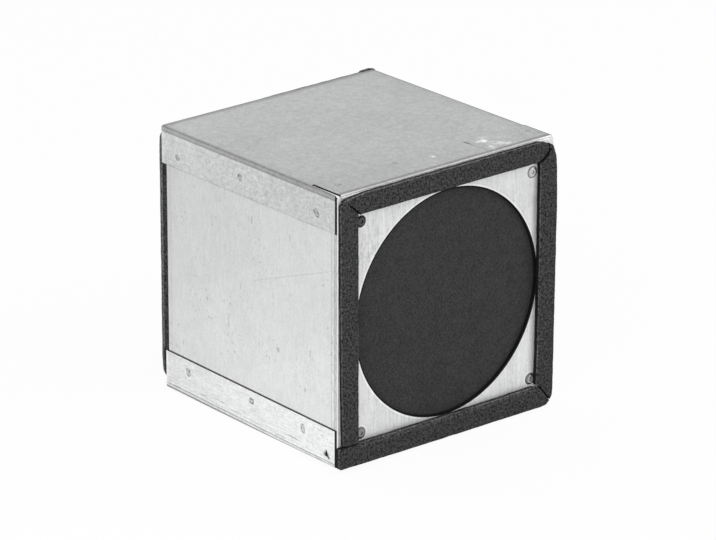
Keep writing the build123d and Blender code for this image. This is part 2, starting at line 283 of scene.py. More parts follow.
# Tone and height across a spot weld, by distance from its middle
WELD_TONES = ((0.0, 0.82), (0.7, 0.72), (1.3, 0.48), (2.0, 0.46), (2.5, 0.85), (3.0, 1.12), (3.9, 1.0))
WELD_RELIEF = ((0.0, 0.35), (1.2, 0.2), (2.0, 0.0), (2.7, 0.55), (3.2, 0.6), (4.0, 0.5), (5.0, 0.5))


def speckled(s, specks):
    """How much darker the sheet is in its loose groups of soft specks."""
    soft = s.noise(0.0024, roughness=0.6, factors=(1, 1, 0.7), offset=(0.31, 0.17, 0.05))
    where = s.noise(0.03, detail=1.0, offset=(0.7, 0.2, 0.4))
    return s.product(s.remap(soft, 0.6, 0.74), s.remap(where, 0.42, 0.62), specks)


def weld_marks(s, welds):
    """Tone factors and heights of groups of weld marks; each group is its marks and their strength."""
    factors, reliefs = [], []
    for marks, strength in welds:
        uneven = s.wandering(0.0035, 0.0034)
        apart = s.least([s.capsule(start, end, uneven) for start, end in marks])
        patches = s.noise(0.0019, detail=1.0, offset=(0.05, 0.4, 0.13))
        broken = s.remap(patches, 0.38, 0.6, 0.45 * strength, 1.35 * strength)
        ring = s.math("SUBTRACT", 1.0, s.profile(apart, WELD_TONES))
        factors.append(s.math("SUBTRACT", 1.0, s.product(ring, broken)))
        reliefs.append(s.profile(apart, WELD_RELIEF))
    return factors, reliefs


def scuffs(s, scratches, smears, flecks):
    """Tone factors of fine scratches, rubbed smears and short flecks along the rolling direction."""
    factors = []
    if scratches:
        shaky = s.wandering(0.004, 0.0007)
    for start, end, width, change in scratches:
        line = s.near_line(start, end, width, shaky)
        factors.append(s.math("ADD", 1.0, s.product(line, change)))
    if smears:
        rubbed = s.noise(0.0024, detail=3.0, roughness=0.7, factors=(0.5, 1, 1), offset=(0.3, 0.2, 0.1))
    for start, end, width, change in smears:
        area = s.product(s.near_line(start, end, width), s.remap(rubbed, 0.4, 0.56))
        factors.append(s.math("ADD", 1.0, s.product(area, change)))
    for stretch, full_below, none_above, amount in flecks:
        lines = s.noise(0.0011, roughness=0.6, factors=stretch, offset=(0.11, 0.43, 0.29))
        where = s.ramp(s.axis("Z"), none_above, full_below)
        factors.append(s.unless(s.product(s.remap(lines, 0.57, 0.72), where), 1.0 - amount))
    return factors


def galvanised(
    name, tone, grain, shape=None, welds=(), scratches=(), smears=(), flecks=(),
    specks=0.0, metallic=0.7, grit=1.0,
):
    """Rolled zinc-coated sheet: cloudy patches, fine rolling streaks, scuffs, weld marks and scratches.

    The shape function gives tone factors that follow the folds and cut edges of that sheet; among them are
    painted highlights and painted shade along folds, gaps and seams, and painted gradients of light.
    """
    s = Shader(name)
    clouds = s.noise(0.045, detail=3.0, roughness=0.6)
    patches = s.noise(0.009, detail=4.0, roughness=0.65)
    streaks = s.noise(0.003, detail=3.0, roughness=0.65, factors=grain)
    fine = s.noise(0.0016, roughness=0.75)
    value = s.math("ADD", tone, s.total(
        s.spread(clouds, -0.022, 0.022),
        s.spread(patches, -0.03, 0.03),
        s.spread(streaks, -0.03 * grit, 0.03 * grit),
        s.spread(fine, -0.05 * grit, 0.05 * grit),
    ))
    if specks:
        value = s.math("SUBTRACT", value, speckled(s, specks))
    weld_tones, reliefs = weld_marks(s, welds)
    # The shape's tone factors include painted highlights, painted shade and painted gradients of light.
    folds_and_light = shape(s) if shape else []
    value = s.product(value, *folds_and_light, *weld_tones, *scuffs(s, scratches, smears, flecks))
    roughness = s.total(s.spread(patches, 0.44, 0.56), s.spread(fine, -0.03, 0.03))
    grit_height = s.total(s.product(streaks, 0.5), s.product(fine, 0.5))
    normal = s.bump(clouds, 0.0004, 0.5)
    normal = s.bump(grit_height, 0.00002, 0.5, normal)
    for relief in reliefs:
        normal = s.bump(relief, 0.00025, 0.8, normal)
    return s.finish(
        Base_Color=s.grey(value, ZINC_TINT), Metallic=metallic, Roughness=roughness, Normal=normal,
    )


# Tone across a groove, painted shade in the joint, and along the pale painted highlight of the foam, by
# distance from their middle lines
GROOVE_SHADE = ((0.0, 0.1), (0.45, 0.12), (0.85, 1.0))
HIGHLIGHT_TONES = ((0.0, 1.5), (0.8, 1.4), (1.6, 1.0))


def foam(name, tone, pore=0.0017, contrast=1.0, wall_light_and_shade=None, upper_wall_light=None, right=None, grooves=(), highlight=None):
    """Closed-cell foam: dark, dull and finely pitted, with cut walls that carry painted light and shade by
    their depth.

    The wall stops are (depth from the front plate, factor): painted shade where the walls meet the casing, a
    painted lit band and, on the front strips, a darker edge. Walls that face up, and those on the right half,
    may have stops of their own, paler ones as painted light and darker ones as painted shade. The grooves are
    lines of (x, z) points painted dark as shade in the joints, and one paler line of the same kind is a
    painted highlight.
    """
    s = Shader(name)
    cells = s.noise(pore, roughness=0.8)
    patches = s.noise(0.007, detail=3.0, roughness=0.6)
    pits = s.cells(pore * 1.3)
    value = s.math("ADD", 1.0, s.total(
        s.spread(cells, -0.9 * contrast, 1.0 * contrast),
        s.spread(patches, -0.12, 0.12),
        s.remap(pits, 0.0, 0.6, -0.25 * contrast, 0.25 * contrast),
    ))
    value = s.product(s.math("MAXIMUM", value, 0.1), tone)
    if wall_light_and_shade:
        wall = s.remap(s.math("ABSOLUTE", s.facing("Y")), 0.6, 0.35)
        place = s.math("SUBTRACT", s.axis("Y"), PLATE_Y)
        tones = s.profile(place, wall_light_and_shade)
        # Walls on the right half get their own stops: painted shade at the foot and a painted lit band
        if right:
            tones = s.mixed(s.ramp(s.axis("X"), 0.0, 10.0), tones, s.profile(place, right))
        if upper_wall_light:
            tones = s.mixed(s.remap(s.facing("Z"), 0.5, 0.75), tones, s.profile(place, upper_wall_light))
        value = s.product(value, s.mixed(wall, 1.0, tones))
    lines = [(line, GROOVE_SHADE) for line in grooves] + ([(highlight, HIGHLIGHT_TONES)] if highlight else [])
    flat = s.stretched((1, 0, 1)) if lines else None
    for line, line_tones in lines:
        points = [Vector((x * MM, 0, z * MM)) for x, z in line]
        apart = s.least([s.capsule(start, end, flat) for start, end in zip(points, points[1:])])
        value = s.product(value, s.profile(apart, line_tones))
    normal = s.bump(s.total(cells, pits), 0.0004, 0.7)
    return s.finish(Base_Color=s.grey(value), Roughness=0.95, Specular_IOR_Level=0.2, Normal=normal)


def plain_metal(name, tone, rough, shape=None):
    s = Shader(name)
    grain = s.noise(0.0008, detail=3.0)
    tarnish = s.noise(0.004, detail=3.0)
    value = s.math("ADD", s.total(s.spread(grain, -0.03, 0.03), s.spread(tarnish, -0.05, 0.05)), tone)
    value = s.product(value, *(shape(s) if shape else []))
    return s.finish(
        Base_Color=s.grey(value), Metallic=0.9, Roughness=s.spread(tarnish, rough - 0.06, rough + 0.08),
        Normal=s.bump(grain, 0.00002, 0.5),
    )


def dull_polymer(name, tone, rough, tint=(1, 1, 1), gloss=0.5, shape=None):
    s = Shader(name)
    grain = s.noise(0.0006)
    value = s.math("ADD", s.spread(grain, -0.06 * tone, 0.06 * tone), tone)
    value = s.product(value, *(shape(s) if shape else []))
    return s.finish(
        Base_Color=s.grey(value, tint), Roughness=rough, Specular_IOR_Level=gloss,
        Normal=s.bump(grain, 0.00003, 0.4),
    )


# Tone factors along each sheet's folds and cut edges: tool lines, painted highlights and painted shade on the
# bends, painted shade in the gaps, slits and seams, and painted gradients of light across the faces
# Cut edges are painted near black: painted shade in the slits and gaps they face
CUT_EDGE_SHADE = 0.02


def rolled(s, low, high):
    """Fine streaks along a cover's side flange."""
    return s.spread(s.noise(0.0012, roughness=0.8, factors=(1, 0.35, 1)), low, high)


# Upwards on the top panel's side flange: a darker foot, faint tool lines, and over the fold a dark band and
# darker lines, partly tool lines and partly painted shade and painted reflection of the fold
TOP_FLANGE_UP = (
    (174.8, 0.8), (175.5, 1.0), (194.0, 1.0), (194.7, 0.94), (195.4, 1.0), (197.9, 1.04), (198.6, 0.95),
    (199.2, 0.5), (199.7, 0.5), (200.2, 0.66), (201.3, 0.64), (201.9, 0.62), (202.3, 0.38), (202.8, 0.4),
    (203.3, 0.8),
)
# Along the flange: a faint tool line and a brighter rear fold, a painted highlight
TOP_FLANGE_REAR = ((80.0, 1.0), (93.6, 1.0), (94.2, 0.93), (95.0, 1.0), (96.6, 1.1), (98.6, 1.15))
# The flange's front end is painted near black: painted shade in the gap before it
TOP_FLANGE_FRONT = ((-94.2, 0.2), (-93.6, 0.2), (-93.1, 1.08), (-91.8, 1.0))
# The side flange is lifted over the top face's tone, whose darkness is painted shade
TOP_FLANGE_LIFT = 1.25
# Across the top face towards its sides: a faint tool line, painted shade at the slit and a painted highlight
# on the fold
TOP_OUTWARDS = (
    (93.0, 1.0), (94.0, 0.96), (95.0, 1.0), (97.4, 1.0), (97.9, 0.8), (98.4, 0.8), (98.8, 1.15), (99.4, 1.15),
)
# Along the top face: painted shade behind the front fold, the tab's step, and darker towards the rear edge
TOP_ALONG = (
    (-97.0, 1.0), (-96.4, 0.95), (-95.8, 0.5), (-94.0, 0.55), (-92.6, 0.93), (-66.5, 0.95), (-65.5, 0.98),
    (88.0, 1.0), (93.0, 0.98), (96.0, 0.7), (99.0, 0.5),
)
# The top face darkens towards its right edge: painted shade where it rounds over the right fold
TOP_RIGHT_EDGE = ((84.0, 1.0), (94.0, 0.96), (96.8, 0.9), (98.2, 0.6), (100.0, 0.42))


def top_folds_and_light(s):
    y = s.axis("Y")
    out = s.math("ABSOLUTE", s.axis("X"))
    flange = s.product(
        s.profile(s.axis("Z"), TOP_FLANGE_UP), s.profile(y, TOP_FLANGE_REAR), s.profile(y, TOP_FLANGE_FRONT),
        rolled(s, 0.91, 1.09), TOP_FLANGE_LIFT,
    )
    top = s.product(s.profile(y, TOP_ALONG), s.profile(out, TOP_OUTWARDS))
    tones = s.mixed(s.ramp(out, 98.2, 99.4), top, flange)
    right_fold_shade = s.mixed(s.remap(s.facing("Z"), 0.3, 0.5), 1.0, s.profile(s.axis("X"), TOP_RIGHT_EDGE))
    # The slit beside the tab is painted near black, painted shade; so are the front-facing cut faces behind
    # the front
    side_cut = s.product(s.remap(s.math("ABSOLUTE", s.facing("X")), 0.8, 0.9), s.ramp(out, 98.3, 98.1))
    front_cut = s.product(s.remap(s.facing("Y"), -0.8, -0.9), s.ramp(y, -96.0, -95.5))
    slit_shade = s.product(s.ramp(out, 97.3, 97.7), s.ramp(out, 98.6, 98.4), s.ramp(y, -66.0, -68.0))
    # The tab's front face is painted brighter, a painted highlight on its front fold, and the flanges' front
    # ends near black, painted shade in the gap
    faces_front = s.remap(s.facing("Y"), -0.6, -0.75)
    front_fold_highlight = s.product(faces_front, s.ramp(y, -95.5, -96.0))
    front_ends_shade = s.product(faces_front, s.ramp(out, 98.2, 98.6))
    return [
        tones, right_fold_shade, s.unless(side_cut, CUT_EDGE_SHADE), s.unless(front_cut, CUT_EDGE_SHADE),
        s.unless(slit_shade, 0.2), s.unless(front_fold_highlight, 2.6), s.unless(front_ends_shade, 0.1),
    ]


# The heights are above the lower edge, whose bend climbs towards the rear
BOTTOM_BEND_START, BOTTOM_BEND_RISE = 42, 2.3
# Upwards on the lower cover's side flange: bright below the bend, dark bands and lines across it, painted
# highlight and painted shade of the bend, and faint tool lines above
BOTTOM_FLANGE_UP = (
    (-2.5, 1.3), (-0.4, 1.3), (0.0, 0.34), (0.9, 0.36), (1.3, 0.9), (2.4, 0.92), (2.8, 0.58), (3.3, 0.58),
    (3.8, 1.06), (5.2, 1.0), (5.6, 0.84), (6.0, 1.0), (8.4, 1.0), (8.8, 0.93), (9.3, 1.0), (28.0, 1.0),
    (30.0, 1.03),
)
# Along the lower flange: brighter towards the front, a painted gradient of light, and a brighter rear fold, a
# painted highlight
BOTTOM_ALONG = ((-95.0, 1.13), (-60.0, 1.12), (20.0, 1.05), (94.5, 0.97), (95.2, 1.1), (97.0, 1.12))
# The flange's front end is painted near black: painted shade in the gap before it
BOTTOM_FLANGE_FRONT = ((-94.2, 0.15), (-93.6, 0.15), (-93.1, 1.06), (-91.8, 1.0))
PIERCED_MARK = (-FLANGE_X, depth(12.1), 9 * MM)


def bottom_folds_and_light(s):
    y, z = s.axis("Y"), s.axis("Z")
    out = s.math("ABSOLUTE", s.axis("X"))
    bend = s.remap(y, depth(BOTTOM_BEND_START), depth(CASING_DEPTH), 0.0, BOTTOM_BEND_RISE * MM)
    upwards = s.profile(s.math("SUBTRACT", z, bend), BOTTOM_FLANGE_UP)
    # The upward and front cut edges are painted near black: the raw edge with painted shade in the gap behind
    # it
    top_cut = s.product(s.remap(s.facing("Z"), 0.7, 0.85), s.ramp(z, 26.5, 27.5))
    front_cut = s.remap(s.facing("Y"), -0.8, -0.9)
    inside_mark = s.product(s.ramp(out, 99.95, 99.9), s.near(PIERCED_MARK, 4.0, 4.5))
    return [
        upwards, s.profile(y, BOTTOM_ALONG), s.profile(y, BOTTOM_FLANGE_FRONT), rolled(s, 0.9, 1.1),
        s.unless(top_cut, CUT_EDGE_SHADE), s.unless(front_cut, CUT_EDGE_SHADE), s.unless(inside_mark, 0.01),
    ]


# Along the side panel: tool lines and painted highlights at the front and rear bends, and brighter towards
# the front, a painted gradient of light
SIDE_ALONG = (
    (-96.3, 1.1), (-95.7, 1.05), (-95.2, 0.9), (-93.4, 0.88), (-92.9, 0.78), (-91.9, 0.8), (-91.3, 1.0),
    (-90.7, 1.18), (-89.9, 1.18), (-89.3, 0.84), (-88.8, 0.84), (-88.2, 1.05), (-60.0, 1.04), (0.0, 1.0),
    (60.0, 0.96), (89.5, 0.94), (91.2, 0.84), (92.2, 0.92), (94.2, 0.94), (94.8, 1.25), (96.2, 1.3),
)
# Brighter towards the bottom: a painted gradient of light
SIDE_UP = ((28.0, 1.1), (60.0, 1.08), (110.0, 1.0), (173.0, 0.96))
LOWER_COVER_TOP = (28.0, 30.3)
UPPER_COVER_FOOT = 174.8
# Above the lower cover's top edge a dark line and a paler one, painted shade and highlight of the step; below
# the upper cover's foot a painted shadow, broken into patches
LOWER_STEP_SHADE = ((0.0, 0.25), (0.5, 0.3), (1.0, 1.0), (1.4, 1.12), (2.6, 1.0))
UPPER_FOOT_SHADOW = ((0.0, 0.32), (0.5, 0.36), (1.0, 1.0))


def side_folds_and_light(s):
    y, z = s.axis("Y"), s.axis("Z")
    front, rear = (height * MM for height in LOWER_COVER_TOP)
    cover_top = s.remap(y, depth(0), depth(CASING_DEPTH), front, rear)
    lower_seam = s.profile(s.math("SUBTRACT", z, cover_top), LOWER_STEP_SHADE)
    patches = s.remap(s.noise(0.006, offset=(0.6, 0.1, 0.8)), 0.38, 0.62, 0.15, 1.0)
    upper_seam = s.profile(s.math("SUBTRACT", UPPER_COVER_FOOT * MM, z), UPPER_FOOT_SHADOW)
    smudges = s.remap(s.noise(0.0014, factors=(1, 1, 0.3)), 0.42, 0.62)
    front_band = s.product(s.remap(y, depth(8.5), depth(7.0)), smudges)
    # Upward edges of the side panel are painted near black, painted shade in the slit above them
    return [
        s.profile(y, SIDE_ALONG), s.profile(z, SIDE_UP), lower_seam, s.mixed(patches, 1.0, upper_seam),
        s.unless(s.remap(s.facing("Z"), 0.7, 0.85), CUT_EDGE_SHADE), s.unless(front_band, 0.84),
    ]


# Each front rivet: its place, the tone of its rim and the tone of its crown; the tones are painted reflection
# of the dark foam and painted shadow of it, darkest at the upper left
RIVET_PLACES_AND_TONES = (
    ((-79.6, 180.5), 0.02, 0.13), ((-79.3, 22.6), 0.28, 0.42),
    ((81.3, 21.0), 0.34, 0.75), ((80.0, 179.8), 0.8, 1.05),
)
# A dark ring on the plate round each head, painted shadow of its rim, with a faint painted highlight outside
RIVET_RING_SHADOW = ((4.0, 0.45), (4.45, 0.5), (4.7, 1.0), (5.3, 1.1), (6.0, 1.0))

# The round opening: its bore painted black as shade, a painted highlight along its rim, and a painted
# crescent of shade over its edge, heavier at the lower right
OPENING_MIDDLE, SHADE_CRESCENT_MIDDLE = (0.7, 100.9), (1.4, 100.3)
OPENING_RIM = ((83.0, 0.03), (84.86, 0.03), (84.95, 1.16), (86.0, 1.16), (86.8, 0.93), (87.6, 1.0))
OPENING_SHADE_CRESCENT = ((84.0, 0.03), (84.8, 0.03), (84.95, 1.0))
# Brighter towards the bottom: a painted gradient of light
PLATE_UP = ((20.0, 1.03), (100.0, 1.0), (150.0, 0.97), (201.0, 0.95))
# A painted highlight on the plate's left edge, and brighter towards the right strip, painted light that lifts
# the strip's shade
PLATE_ACROSS = ((-99.2, 1.2), (-98.3, 1.2), (-97.9, 1.0), (72.0, 1.0), (82.0, 1.16), (99.2, 1.1))
RUBBED_PLACE = (-74.0, 160.0)


def plate_marks_and_light(s):
    rubbed = s.noise(0.0022, detail=3.0, roughness=0.7, factors=(1, 1, 0.4), offset=(0.2, 0, 0.6))
    rub = s.product(s.near(on_plate(*RUBBED_PLACE), 4.0, 22.0), s.remap(rubbed, 0.45, 0.62))
    hairs = s.noise(0.0013, roughness=0.6, factors=(1, 1, 0.04), offset=(0.4, 0, 0.1))
    rim = s.profile(s.from_point(on_plate(*OPENING_MIDDLE)), OPENING_RIM)
    shade_crescent = s.profile(s.from_point(on_plate(*SHADE_CRESCENT_MIDDLE)), OPENING_SHADE_CRESCENT)
    rings = [s.profile(s.from_point(on_plate(*place)), RIVET_RING_SHADOW) for place, *_ in RIVET_PLACES_AND_TONES]
    return [
        s.profile(s.axis("Z"), PLATE_UP), s.unless(rub, 0.72), rim, shade_crescent,
        s.profile(s.axis("X"), PLATE_ACROSS), s.spread(hairs, 0.9, 1.08), *rings,
    ]


def rivet_painted_light(s):
    """Each rivet head is painted its own tone, painted reflection of the dark foam and its shadow, and darker
    round its rim and its mandrel as painted shade.
    """
    factors = []
    for place, rim, crown in RIVET_PLACES_AND_TONES:
        groove_shade = rim * 0.5
        factors.append(s.profile(s.from_point(on_plate(*place)), (
            (0.0, crown * 1.2), (0.9, crown * 1.1), (1.15, groove_shade), (1.5, groove_shade), (1.9, crown), (2.8, crown),
            (3.3, rim), (3.9, rim * 0.8), (4.3, groove_shade), (7.0, groove_shade), (7.1, 1.0),
        )))
    return factors


def seat_gap_shade(s):
    """The seat's rim is painted black, painted shade in the gap behind the plate, and has the tone of the
    flap's facing further in.
    """
    place = s.math("SUBTRACT", s.axis("Y"), PLATE_Y)
    return [s.profile(place, ((0.0, 0.04), (1.8, 0.04), (2.3, 1.0), (9.0, 1.0)))]


def strokes_on_top(z, rows):
    """Strokes on the top panel at this height: rows of both ends as (x, depth), width and change."""
    return [
        ((x0 * MM, depth(y0), z), (x1 * MM, depth(y1), z), width, change)
        for (x0, y0), (x1, y1), width, change in rows
    ]


def strokes_on_side(x, rows):
    """Strokes on a side at this X: rows of both ends as (depth, height), width and change."""
    return [
        ((x, depth(y0), z0 * MM), (x, depth(y1), z1 * MM), width, change)
        for (y0, z0), (y1, z1), width, change in rows
    ]


def flange_marks(rows):
    """Weld marks on both side flanges: rows of the mark and its tail's end, as (depth, height)."""
    return [
        ((side, depth(y0), z0 * MM), (side, depth(y1), z1 * MM))
        for side in (-FLANGE_X, FLANGE_X) for (y0, z0), (y1, z1) in rows
    ]


def tab_marks(places):
    """Round weld marks on the top panel's tab, at places of (x, depth)."""
    return [((x * MM, depth(y), TAB_Z),) * 2 for x, y in places]


# Finishes
upper_welds = flange_marks([
    ((177.9, 183.1), (177.9, 183.1)), ((107.1, 188.1), (107.1, 187.4)), ((22.2, 184.3), (24.0, 186.2)),
])
lower_welds = flange_marks([
    ((167.9, 19.6), (168.6, 21.6)), ((95.6, 21.4), (95.9, 22.0)), ((38.0, 18.2), (38.8, 20.4)),
])
tab_welds = tab_marks([(-85.6, 17.8), (-26.9, 26.3), (91.2, 17.1)])

# The top sheet's tone is darker than the sides' so that its top face is darker: painted shade
top_sheet = galvanised(
    "top_sheet", 0.488, (0.6, 0.6, 1), top_folds_and_light, ((upper_welds, 1.0), (tab_welds, 0.6)), grit=1.5,
    scratches=strokes_on_top(TAB_Z, [
        ((40.4, 30.0), (40.2, 23.4), 3.4, -0.75),
        ((40.2, 23.4), (40.9, 4.5), 1.6, -0.4),
        ((45.5, 14.0), (58.1, 6.2), 1.4, -0.35),
    ]) + strokes_on_top(TOP_Z, [
        ((-60, 70), (-20, 95), 1.1, 0.12),
        ((20, 120), (70, 108), 1.1, -0.12),
        ((-20, 115), (30, 135), 1.1, -0.12),
    ]) + strokes_on_top(TOP_Z + 0.3 * MM, [
        ((-96, 31.6), (-50, 31.0), 1.4, -0.16),
    ]),
    smears=strokes_on_top(TAB_Z, [
        ((53.0, 25.5), (51.5, 19.5), 8, 0.6),
        ((47.0, 22.5), (54.0, 20.0), 5, 0.7),
        ((50.0, 13.0), (47.5, 5.5), 7, 0.75),
        ((54.0, 10.5), (68.0, 4.5), 7, 0.9),
        ((56.0, 16.5), (60.0, 11.0), 6, 0.6),
        ((3.0, 19.4), (3.0, 20.6), 4, 1.4),
        ((56.0, 28.0), (70.0, 20.0), 14, 0.25),
    ]),
)
bottom_sheet = galvanised(
    "bottom_sheet", 0.79, (1, 0.2, 1), bottom_folds_and_light, ((lower_welds, 1.0),), specks=0.16, grit=1.5,
    flecks=[((1, 0.05, 1), 9, 15, 0.48), ((1, 0.06, 1), 30, 31, 0.15)],
    scratches=strokes_on_side(-FLANGE_X, [
        ((13.8, 7.8), (11.6, 8.2), 4.4, -0.99),
        ((12.7, 10.4), (12.4, 8.6), 3.0, -0.99),
        ((11.4, 7.8), (9.7, 5.8), 3.0, -0.99),
    ]),
)
side_sheet = galvanised(
    "side_sheet", 0.695, (1, 1, 0.3), side_folds_and_light, specks=0.26,
    scratches=strokes_on_side(-PANEL_X, [
        ((94, 113.9), (10, 145.4), 1.4, -0.14),
        ((120, 60.0), (95, 52.0), 1.2, -0.12),
        ((95.3, 161.0), (95.3, 157.0), 2.6, -0.35),
        ((66.3, 70.2), (66.3, 69.2), 3.6, -0.45),
        ((37, 49.2), (37, 47.8), 3.0, -0.35),
        ((31.4, 79.6), (31.4, 75.8), 2.6, -0.3),
        ((53, 159.8), (53, 157.2), 2.4, -0.25),
        ((122, 80.0), (122, 70.0), 2.6, -0.22),
    ]),
)
plate_sheet = galvanised("plate_sheet", 0.735, (1, 1, 0.2), plate_marks_and_light, specks=0.2, metallic=0.5, grit=1.1)
rear_sheet = galvanised("rear_sheet", 0.68, (1, 1, 0.3), specks=0.12)
fitting_sheet = galvanised("fitting_sheet", 0.6, (1, 0.2, 1))

# The joints between the front strips, painted dark as shade, and the pale painted highlight along the bottom
# strip
GROOVES = (
    ((-98.6, 198.2), (-95.4, 197.4), (-92.1, 195.2), (-87.7, 191.3), (-85.0, 188.8)),
    ((84.3, 188.2), (86.9, 189.4), (91.2, 192.6), (92.7, 195.8), (92.8, 198.2), (92.0, 199.8)),
    ((84.6, 187.6), (87.3, 188.8), (91.5, 191.9), (93.1, 195.0)),
    ((83.0, 15.8), (87.7, 13.8), (91.4, 9.1), (96.2, 3.2)),
    ((-101.8, 17.5), (-84.6, 17.5)),
)
BOTTOM_STRIP_HIGHLIGHT = ((-84.0, 15.2), (82.0, 13.4))
# The front strips' walls: painted shade at their foot by the plate, a painted lit band and a dark edge;
# upward walls painted paler, and the right strip's inner wall darker
strip_foam = foam(
    "strip_foam", 0.029, contrast=1.75, grooves=GROOVES, highlight=BOTTOM_STRIP_HIGHLIGHT,
    wall_light_and_shade=((-5.2, 1.0), (-4.6, 0.6), (-4.2, 0.8), (-3.6, 1.7), (-2.4, 1.6), (-1.8, 0.35), (0.0, 0.2)),
    upper_wall_light=((-5.2, 2.0), (-4.6, 2.9), (-3.2, 2.6), (-2.4, 0.8), (0.0, 0.5)),
    right=((-5.4, 1.0), (-4.9, 0.9), (-4.4, 2.4), (-3.7, 2.2), (-3.0, 0.2), (0.0, 0.12)),
)
# The rear strips' outer walls: painted shade in the gap by the panels, painted light on the walls beyond
rear_foam = foam("rear_foam", 0.034, contrast=1.2, wall_light_and_shade=(
    (190.0, 0.1), (194.6, 0.1), (195.1, 3.4), (196.5, 2.7), (197.5, 2.3), (199.2, 2.4),
))
facing_foam = foam("facing_foam", 0.0345, pore=0.0014, contrast=0.5)
rivet_metal = plain_metal("rivet_metal", 0.62, 0.35, shape=rivet_painted_light)
blade_rivet_metal = plain_metal("blade_rivet_metal", 0.6, 0.35)
shaft_metal = plain_metal("shaft_metal", 0.55, 0.25)
seat_rubber = dull_polymer("seat_rubber", 0.05, 0.95, gloss=0.2, shape=seat_gap_shade)
black_rubber = dull_polymer("black_rubber", 0.004, 0.9, gloss=0.1)
white_plastic = dull_polymer("white_plastic", 0.75, 0.45, (1, 0.98, 0.93))

FINISHES = {
    side_sheet: ("left_side_panel", "right_side_panel"),
    top_sheet: ("top_panel",),
    bottom_sheet: ("bottom_panel",),
    rear_sheet: ("rear_frame",),
    plate_sheet: ("front_plate",),
    fitting_sheet: (
        "blade_plate", "left_hinge_strap", "right_hinge_strap",
        "left_hinge_bracket", "right_hinge_bracket", "open_stop",
    ),
    facing_foam: ("blade_facing",),
    blade_rivet_metal: ("blade_rivets",),
    shaft_metal: ("hinge_shaft", "shaft_clips"),
    seat_rubber: ("seat_seal",),
    black_rubber: ("stop_buffer",),
    white_plastic: ("left_bush", "right_bush"),
}
for finish, nodes in FINISHES.items():
    for node in nodes:
        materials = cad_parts[node].data.materials
        materials.clear()
        materials.append(finish)


def shown(name, data):
    """A new object in the scene."""
    made = bpy.data.objects.new(name, data)
    scene.collection.objects.link(made)
    return made


def mesh_from(bm, name):
    """The finished mesh of a bmesh, with its normals outwards."""
    bmesh.ops.recalc_face_normals(bm, faces=bm.faces)
    mesh = bpy.data.meshes.new(name)
    bm.to_mesh(mesh)
    bm.free()
    return mesh


def dressed(piece, node, material):
    """A piece of the casing that stands for a node of the model, in its material and shaded smooth."""
    piece.data.polygons.foreach_set("use_smooth", [True] * len(piece.data.polygons))
    piece.data.materials.clear()
    piece.data.materials.append(material)
    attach(piece, "casing")
    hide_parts(node)


ARC_STEPS = 7
EDGE_ANGLES = (0, 22, 45, 68, 90)


def rounded_outline(corners):
    """The outline through these corners, as points with their edge weights.

    Each corner is (x, z, radius), and an edge weight where that isn't 1.
    """
    points = []
    for index, (x, z, radius, *weight) in enumerate(corners):
        weight = weight[0] if weight else 1.0
        here = Vector((x, z))
        before = Vector(corners[index - 1][:2])
        after = Vector(corners[(index + 1) % len(corners)][:2])
        if radius == 0:
            points.append((here, weight))
            continue
        to_before, to_after = (before - here).normalized(), (after - here).normalized()
        half = to_before.angle(to_after) / 2
        longest = 0.45 * min((before - here).length, (after - here).length)
        reach = min(radius / math.tan(half), longest)
        radius = reach * math.tan(half)
        middle = here + (to_before + to_after).normalized() * (radius / math.sin(half))
        first = here + to_before * reach - middle
        last = here + to_after * reach - middle
        turn = first.angle_signed(last)
        for step in range(ARC_STEPS + 1):
            points.append((middle + Matrix.Rotation(-turn * step / ARC_STEPS, 2) @ first, weight))
    return points


def inset(points, distance):
    """The closed outline moved inwards by the distance times each point's weight."""
    moved = []
    for index, (here, weight) in enumerate(points):
        before, after = points[index - 1][0], points[(index + 1) % len(points)][0]
        along = (after - before).normalized()
        moved.append(here + Vector((-along.y, along.x)) * distance * weight)
    return moved


def slab(bm, corners, base_y, top_y, edge):
    """A slab that stands off the base plane, with its free edges rounded to this radius."""
    outline = rounded_outline(corners)
    height = abs(top_y - base_y) / MM
    levels = [(0.0, 0.0)] + [
        (edge * (1 - math.cos(turn)), height - edge * (1 - math.sin(turn)))
        for turn in map(math.radians, EDGE_ANGLES)
    ]
    sign = 1 if top_y > base_y else -1
    rings = []
    for inwards, out in levels:
        y = base_y + sign * out * MM
        rings.append([bm.verts.new((p.x * MM, y, p.y * MM)) for p in inset(outline, inwards)])
    for low, high in zip(rings, rings[1:]):
        for index in range(len(low)):
            after = (index + 1) % len(low)
            bm.faces.new((low[index], low[after], high[after], high[index]))
    bm.faces.new(rings[-1])
    bm.faces.new(rings[0][::-1])


FOAM_VOXEL = 0.6 * MM
FOAM_SOFTENING = 0.5
FOAM_LUMP, FOAM_LUMP_SIZE = 0.35 * MM, 11 * MM
FOAM_PIT, FOAM_PIT_SIZE = 0.2 * MM, 1.6 * MM


def displaced(piece, size, height, name):
    """Adds cloudy lumps of this size and height to a piece."""
    texture = bpy.data.textures.new(name, "CLOUDS")
    texture.noise_scale = size
    texture.noise_depth = 1
    push = piece.modifiers.new(name, "DISPLACE")
    push.texture = texture
    push.texture_coords = "LOCAL"
    push.strength = height
    push.mid_level = 0.5


